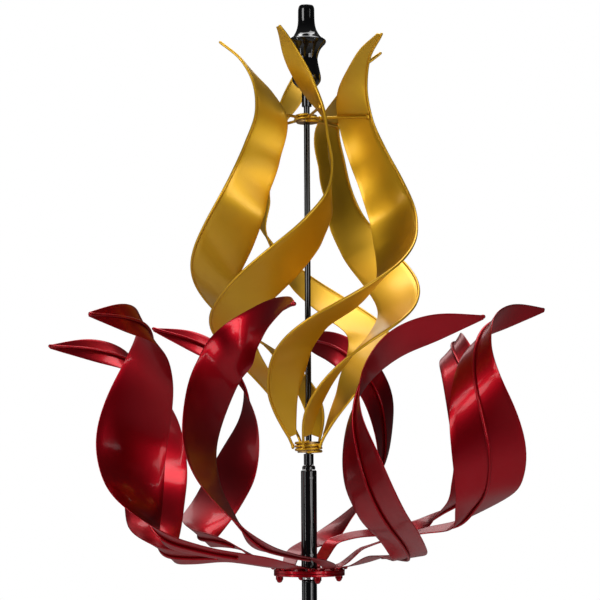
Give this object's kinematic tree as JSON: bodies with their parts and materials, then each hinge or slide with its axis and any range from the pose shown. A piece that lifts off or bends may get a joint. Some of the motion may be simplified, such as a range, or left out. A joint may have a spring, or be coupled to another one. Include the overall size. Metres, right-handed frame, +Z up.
{
  "type": "kinetic wind sculpture",
  "caption": "Garden wind sculpture on a forked stake: a flame of twisted gold ribbons turning inside an open bloom of flared red petals, on a slim black pole with a turned finial.",
  "frame": {"origin": "ground level on the pole's axis, at the middle of the step bar's flat underside", "axes": "+Z up the pole, which both rotors turn about; +X along the step bar; -Y is the side that the reference view sees"},
  "size_m": [0.6047, 0.6091, 1.842],
  "materials": {
    "candy_red": "gloss metallic candy red paint",
    "gold_paint": "satin metallic gold paint",
    "black_coat": "gloss black powder coat",
    "bearing_bronze": "sintered bronze",
    "zinc_steel": "zinc plated"
  },
  "bodies": {
    "stand": {"step_bar": "black_coat", "prong_left": "black_coat", "prong_right": "black_coat", "stake_socket": "black_coat", "socket_screw": "black_coat", "pole_lower": "black_coat", "pole_upper": "black_coat", "pole_plug": "black_coat", "thrust_washer": "zinc_steel", "spindle_rod": "black_coat", "stop_collar": "black_coat", "spacer_tube": "black_coat", "finial": "black_coat"},
    "bloom": {"petal_1": "candy_red", "petal_2": "candy_red", "petal_3": "candy_red", "petal_4": "candy_red", "petal_5": "candy_red", "petal_6": "candy_red", "petal_7": "candy_red", "petal_8": "candy_red", "petal_rib_1": "candy_red", "petal_rib_2": "candy_red", "petal_rib_3": "candy_red", "petal_rib_4": "candy_red", "petal_rib_5": "candy_red", "petal_rib_6": "candy_red", "petal_rib_7": "candy_red", "petal_rib_8": "candy_red", "petal_plate": "candy_red", "hub_tube": "black_coat", "hub_bush_lower": "bearing_bronze", "hub_bush_upper": "bearing_bronze", "hub_bolt_1": "candy_red", "hub_bolt_2": "candy_red", "hub_bolt_3": "candy_red", "hub_bolt_4": "candy_red", "cap_nut_1": "candy_red", "cap_nut_2": "candy_red", "cap_nut_3": "candy_red", "cap_nut_4": "candy_red"},
    "flame": {"flame_ribbon_1": "gold_paint", "flame_ribbon_2": "gold_paint", "flame_ribbon_3": "gold_paint", "flame_ribbon_4": "gold_paint", "flame_ribbon_5": "gold_paint", "flame_wire_1": "gold_paint", "flame_wire_2": "gold_paint", "flame_wire_3": "gold_paint", "flame_wire_4": "gold_paint", "flame_wire_5": "gold_paint", "top_spoke_1": "gold_paint", "top_spoke_2": "gold_paint", "top_spoke_3": "gold_paint", "top_spoke_4": "gold_paint", "top_spoke_5": "gold_paint", "bottom_coil": "gold_paint", "top_coil": "gold_paint", "flame_bush_lower": "bearing_bronze", "flame_bush_upper": "bearing_bronze"}
  },
  "joints": [
    {"name": "bloom_spin", "type": "hinge", "parent": "stand", "child": "bloom", "pos_m": [0, 0, 0.96], "axis": [0, 0, 1], "continuous": true},
    {"name": "flame_spin", "type": "hinge", "parent": "stand", "child": "flame", "pos_m": [0, 0, 1.503], "axis": [0, 0, 1], "continuous": true}
  ]
}
